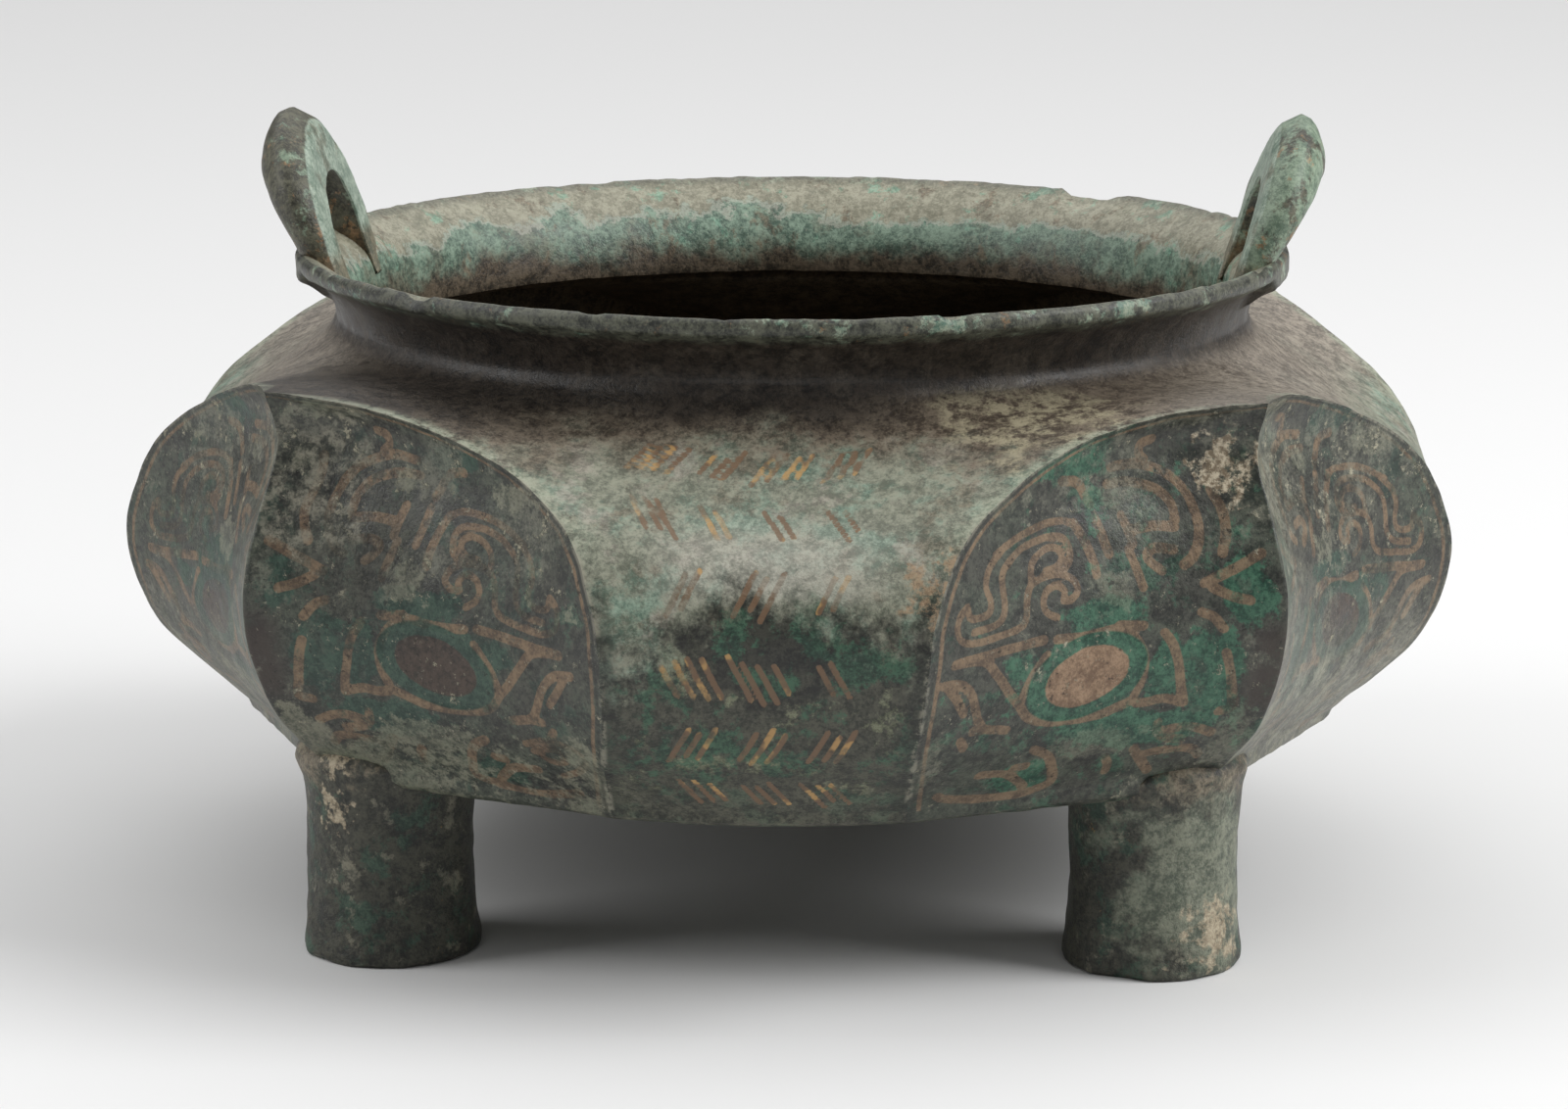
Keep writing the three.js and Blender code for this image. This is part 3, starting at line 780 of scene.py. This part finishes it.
def lobe_bronze():
    material = new_material("inlaid bronze of the lobes")
    s = Surface(material)
    crust, edge, arris, eye = s.fact("crust"), s.fact("edge"), s.fact("arris"), s.fact("eye")

    # Charcoal and emerald ground
    ground = s.mottled((36, 37, 34), (74, 75, 67))
    ground = (s.blotch(22, 20, 0.46, 0.6) * 0.6).tint(ground, s.mottled((46, 54, 46), (90, 97, 83)))
    emerald = s.mottled((18, 56, 43), (66, 106, 84))
    emerald = crust.rising(0.15, 0.4).tint(emerald, s.mottled((28, 50, 42), (62, 84, 71)))
    ground = (s.blotch(12, 21, 0.54, 0.61) * 0.6).tint(ground, emerald)
    green = s.fact("green") * 1.3 + (s.patch - 0.5) * 2.6 + (s.fleck - 0.5) * 1.5
    ground = (green.rising(0.22, 0.42) * (1 - s.blotch(7, 27, 0.54, 0.62) * 0.5)).tint(ground, emerald)
    russet = arris.falling(3, 9) * s.z.rising(56, 62) * s.z.falling(72, 80)
    ground = (russet * 0.8).tint(ground, tone(58, 48, 43))

    # Flush copper, partly lost
    copper = s.mottled((88, 74, 61), (134, 113, 90))
    lost = (s.patch + (crust - 0.2) * 0.16).rising(0.54, 0.62)
    line = (s.fact("inlay") + (s.fine - 0.5) * 0.5).falling(-0.12, 0.12)
    ground = (line * (0.92 - lost * 0.72)).tint(ground, copper)
    ring = eye.rising(0, 0.4) * eye.falling(2.4, 2.9)
    ground = (ring * (1 - lost * 0.5)).tint(ground, emerald)
    filled = (eye + (s.fine - 0.5) * 0.6).falling(-0.15, 0.15)
    disc = s.mottled((106, 84, 66), (152, 127, 103))
    disc = crust.rising(0.2, 0.4).tint(disc, s.mottled((50, 44, 40), (80, 69, 61)))
    ground = (filled * (1 - lost * 0.4)).tint(ground, disc)

    # Crust over it
    sunk = crust.rising(0.3, 0.42) * s.z.falling(46, 62) * 0.5
    cake = (s.fact("caked") * 1.2 + sunk + (s.patch - 0.5) * 2.6 + (s.fleck - 0.5) * 2).rising(0.4, 0.65)
    cake = cake * (0.3 + crust.rising(0.1, 0.45) * 0.32)
    ground = cake.tint(ground, s.mottled((76, 80, 67), (140, 139, 119)))
    veil = (s.grain(15, 6, 14, 0.76) + (crust - 0.2) * 0.08 + s.z.rising(80, 112) * 0.08).rising(0.57, 0.65)
    ground = (veil * 0.6).tint(ground, s.mottled((56, 59, 52), (122, 122, 108)))
    specks = (s.grain(3.6, 5, 9, 0.8) + (crust - 0.2) * 0.06 + (veil - 0.5) * 0.06).rising(0.6, 0.65)
    grit = s.fine.rising(0.4, 0.6).tint(tone(112, 114, 98), tone(176, 170, 148))
    ground = (specks * 0.8).tint(ground, grit)
    ground = (s.grain(1.7, 3, 23, 0.75).rising(0.64, 0.7) * 0.6).tint(ground, tone(140, 136, 118))
    ground = (s.grain(2.2, 3, 22, 0.7).falling(0.31, 0.37) * 0.7).tint(ground, tone(18, 18, 16))
    dull = s.spot((-79, -108, 88), 13, 1.2)
    ground = (dull * 0.5).tint(ground, s.mottled((34, 36, 31), (76, 76, 67)))
    pale = s.spot((-89, -100, 103), 14, 1.4) * s.fleck.rising(0.42, 0.56)
    ground = (pale * 0.65).tint(ground, s.mottled((88, 86, 75), (148, 144, 128)))
    # Pale crust near the arris of the crusted facets, and painted light from the floor on their lower parts
    pale_crust_and_painted_floor_light = crust.rising(0.48, 0.56) * (arris.falling(6, 34) * 0.7).most(s.z.falling(52, 78) * 0.85)
    pale_crust_and_painted_floor_light = pale_crust_and_painted_floor_light * (0.35 + s.blotch(13, 28, 0.46, 0.6) * 0.55)
    ground = pale_crust_and_painted_floor_light.tint(ground, s.mottled((100, 100, 88), (162, 160, 144)))
    cream = s.spot((92, -97.5, 106.5), 7, 2.2) * s.fleck.rising(0.42, 0.52)
    ground = cream.tint(ground, s.fine.rising(0.4, 0.6).tint(tone(118, 104, 84), tone(200, 188, 164)))
    # Painted shade along the facet just below each lobe's raised edge
    painted_edge_shade = edge.rising(0.4, 0.9) * edge.falling(1.2, 1.8) * s.fleck.rising(0.4, 0.56)
    ground = (painted_edge_shade * 0.5).tint(ground, tone(22, 22, 20))
    # Worn metal and painted glints along the very edge of the facet
    wear_and_painted_glints = edge.falling(0.3, 1) * s.fleck.rising(0.46, 0.58)
    ground = s.plain_underside((wear_and_painted_glints * 0.6).tint(ground, tone(136, 132, 118)))
    height = s.patch * 0.4 + s.fleck * 0.45 + s.fine * 0.35 + s.dust * 0.2 + specks * 0.3
    s.finish(ground, 0.45 + (s.fleck - 0.5) * 0.5 + specks * 0.2, height, metal=line.most(filled) * 0.2)
    return material


def leg_bronze():
    material = new_material("crusted bronze of the legs")
    s = Surface(material)
    colour = s.mottled((32, 33, 29), (76, 76, 65))
    colour = (s.blotch(10, 7, 0.53, 0.6) * 0.8).tint(colour, s.mottled((30, 54, 43), (66, 92, 76)))
    colour = (s.blotch(7, 8, 0.57, 0.64) * 0.7).tint(colour, s.mottled((88, 88, 76), (142, 138, 120)))
    colour = (s.blotch(4, 9, 0.66, 0.71) * 0.8).tint(colour, s.mottled((112, 84, 46), (160, 128, 74)))
    # Painted light on the right side of the right front leg
    lit = s.spot((94, -98, 18), 23, 1.3)
    colour = (lit * 0.85).tint(colour, s.mottled((80, 88, 75), (138, 142, 124)))
    top = (s.z + (s.fleck - 0.5) * 8).rising(36, 41) * s.blotch(9, 10, 0.45, 0.58)
    colour = (top * 0.75).tint(colour, s.mottled((92, 84, 70), (150, 138, 117)))
    for centre, size in (((-87.7, -96, 45), 4), ((-88.3, -94, 32.8), 4), ((92, -91, 9), 8)):
        crust = s.spot(centre, size, 1.8) * s.fleck.rising(0.4, 0.52)
        colour = crust.tint(colour, s.mottled((126, 112, 90), (184, 172, 148)))
    height = s.patch * 0.5 + s.fleck * 0.8 + s.fine * 0.5 + s.dust * 0.25
    s.finish(colour, 0.5 + (s.fleck - 0.5) * 0.5, height, relief=0.5)
    return material


def handle_bronze():
    material = new_material("worn bronze of the handles")
    s = Surface(material)
    colour = s.mottled((46, 45, 36), (98, 97, 80))
    # Green patina in patches, with more on the right handle as painted light from the right
    green_patina_and_painted_right_light = s.grain(11, 6, 7, 0.75) + s.x.rising(-1, 1) * 0.13
    colour = (green_patina_and_painted_right_light.rising(0.56, 0.64) * 0.8).tint(colour, s.mottled((94, 116, 97), (152, 172, 149)))
    rusty = s.grain(4, 5, 9, 0.75) + s.z.falling(136, 152) * 0.06
    colour = (rusty.rising(0.6, 0.66) * 0.8).tint(colour, s.mottled((116, 84, 56), (166, 132, 96)))
    pale = s.mottled((112, 132, 117), (176, 190, 174))
    pale = (s.blotch(9, 11, 0.53, 0.62) * 0.6).tint(pale, s.mottled((84, 82, 66), (136, 130, 110)))
    colour = s.fact("inner_face").rising(0.3, 0.7).tint(colour, pale)
    foot = (s.z + (s.fleck - 0.5) * 8).falling(135, 139)
    colour = (foot * 0.7).tint(colour, s.mottled((66, 54, 40), (126, 100, 70)))
    height = s.patch * 0.5 + s.fleck * 0.8 + s.fine * 0.5 + s.dust * 0.25
    s.finish(colour, 0.47 + (s.fleck - 0.5) * 0.4, height)
    return material


def make_body(material):
    mesh = new_mesh("edge", "marks", "inside")
    for quarter in range(4):
        lay(mesh, PANEL_COLUMNS, WALL_ROWS + FLOOR_ROWS, panel_skin(quarter))
        inner = lining(panel_skin(quarter, LINING_WALL_ROWS, LINING_FLOOR_ROWS))
        lay(mesh, PANEL_COLUMNS, LINING_WALL_ROWS + LINING_FLOOR_ROWS, inner)
        inner = lining(lobe_skin(quarter, LINING_WALL_ROWS, LINING_FLOOR_ROWS))
        lay(mesh, LOBE_LINING_COLUMNS, LINING_WALL_ROWS * 7 // 8 + LINING_FLOOR_ROWS, inner)
    lay(mesh, 4 * PANEL_COLUMNS, MOUTH_ROWS, mouth)
    join_seams(mesh)
    roughen(mesh, BODY_RELIEF)
    rim = np.array([v.co for v in mesh.verts]) / MM
    chip = np.clip(wobble(rim * [1, 1, 0], 6, 6) - 0.3, 0, 1) * 1.6
    chip += np.clip(wobble(rim * [1, 1, 0], 2.4, 7), 0, 1) * 0.35
    for (x, y), reach, depth in LIP_CHIPS:
        chip += depth * (1 - ease(np.hypot(rim[:, 0] - x, rim[:, 1] - y), 0.7 * reach, reach))
    for v, place, by in zip(mesh.verts, rim, chip):
        v.co.z -= float(by * ease(place[2], 133, 137)) * MM
    piece("body", mesh, material)


def make_lobes(material):
    for quarter in range(4):
        mesh = new_mesh("edge", "arris", "crust", "inlay", "eye", "green", "caked")
        lay(mesh, LOBE_COLUMNS, WALL_ROWS * 7 // 8 + FLOOR_ROWS, lobe_skin(quarter))
        join_seams(mesh)
        face_outwards(mesh)
        roughen(mesh, BODY_RELIEF)
        piece(f"lobe_{quarter + 1}", mesh, material)


def make_legs(material):
    for k, (x, y) in enumerate(((-1, -1), (1, -1), (1, 1), (-1, 1))):
        mesh = new_mesh()
        lay(mesh, 72, 64, leg_skin)
        bmesh.ops.rotate(mesh, verts=mesh.verts, cent=(0, 0, 0), matrix=Matrix.Rotation(k * 1.3, 3, "Z"))
        bmesh.ops.translate(mesh, verts=mesh.verts, vec=(x * LEG_OFFSET * MM, y * LEG_OFFSET * MM, 0))
        join_seams(mesh)
        roughen(mesh, LEG_RELIEF)
        place, reach, depth = FOOT_CHIP
        for v in mesh.verts:
            share = max(0, 1 - (v.co / MM - Vector(place)).length / reach)
            inwards = Vector((x * LEG_OFFSET * MM - v.co.x, y * LEG_OFFSET * MM - v.co.y, 0))
            v.co += inwards.normalized() * depth * MM * share ** 0.5
            v.co.z = min(max(v.co.z, 0), leg_top(math.hypot(v.co.x, v.co.y) / MM) * MM)
        piece(f"leg_{k + 1}", mesh, material)


def make_handles(material):
    for side in (1, -1):
        mesh = new_mesh("inner_face")
        lay(mesh, 90, 64, handle_skin)
        turn = Matrix.Rotation(0 if side > 0 else math.pi, 3, "Z")
        bmesh.ops.rotate(mesh, verts=mesh.verts, cent=(0, 0, 0), matrix=turn)
        join_seams(mesh)
        roughen(mesh, HANDLE_RELIEF)
        piece("right_handle" if side > 0 else "left_handle", mesh, material)


def make_floor():
    mesh = bmesh.new()
    bmesh.ops.create_grid(mesh, x_segments=1, y_segments=1, size=8)
    data = bpy.data.meshes.new("floor")
    mesh.to_mesh(data)
    mesh.free()
    material = new_material("pale floor")
    shader = next(n for n in material.node_tree.nodes if n.type == "BSDF_PRINCIPLED")
    shader.inputs["Base Color"].default_value = (0.8, 0.8, 0.8, 1)
    shader.inputs["Roughness"].default_value = 0.9
    shader.inputs["Specular IOR Level"].default_value = 0.1
    data.materials.append(material)
    floor = bpy.data.objects.new("floor", data)
    bpy.context.scene.collection.objects.link(floor)


def softbox(name, place, aim, size, power):
    light = bpy.data.lights.new(name, "AREA")
    light.shape = "RECTANGLE"
    light.size, light.size_y = size
    light.energy = power
    lamp = bpy.data.objects.new(name, light)
    lamp.location = place
    lamp.rotation_euler = (Vector(aim) - Vector(place)).to_track_quat("-Z", "Y").to_euler()
    bpy.context.scene.collection.objects.link(lamp)


def light_up():
    world = bpy.data.worlds.new("studio")
    bpy.context.scene.world = world
    world.use_nodes = True
    background = next(n for n in world.node_tree.nodes if n.type == "BACKGROUND")
    background.inputs["Color"].default_value = (1, 1, 1, 1)
    background.inputs["Strength"].default_value = 0.13
    softbox("ceiling", (0.15, 3.05, 3.2), (0.15, 3.05, 0), (8, 7), 192)
    softbox("right box", (1.5, -0.3, 1.2), (0, 0, 0.1), (1, 1.3), 29)
    softbox("left box", (-1.6, -0.4, 1), (0, 0, 0.1), (1, 1.3), 15)
    softbox("front box", (0.1, -1.2, 1.7), (0, 0, 0.1), (1.2, 0.8), 2.5)


def place_camera():
    pitch, yaw = CAMERA_PITCH, CAMERA_YAW
    back = Vector((math.sin(yaw) * math.cos(pitch), -math.cos(yaw) * math.cos(pitch), math.sin(pitch)))
    right = Vector((math.cos(yaw), math.sin(yaw), 0))
    up = back.cross(right)
    camera = bpy.data.cameras.new("camera")
    camera.sensor_width = SENSOR_WIDTH
    camera.sensor_fit = "HORIZONTAL"
    camera.lens = FOCAL_LENGTH_IN_PIXELS / PICTURE_WIDTH * SENSOR_WIDTH
    camera.clip_start, camera.clip_end = 0.05, 50
    eye = bpy.data.objects.new("camera", camera)
    aim = right * CAMERA_ASIDE + Vector((0, 0, CAMERA_AIM_HEIGHT))
    eye.location = aim + back * CAMERA_DISTANCE
    eye.rotation_euler = Matrix((right, up, back)).transposed().to_euler()
    bpy.context.scene.collection.objects.link(eye)
    bpy.context.scene.camera = eye


make_body(body_bronze())
make_lobes(lobe_bronze())
make_legs(leg_bronze())
make_handles(handle_bronze())
make_floor()
light_up()
place_camera()
bpy.context.scene.view_settings.view_transform = "Standard"
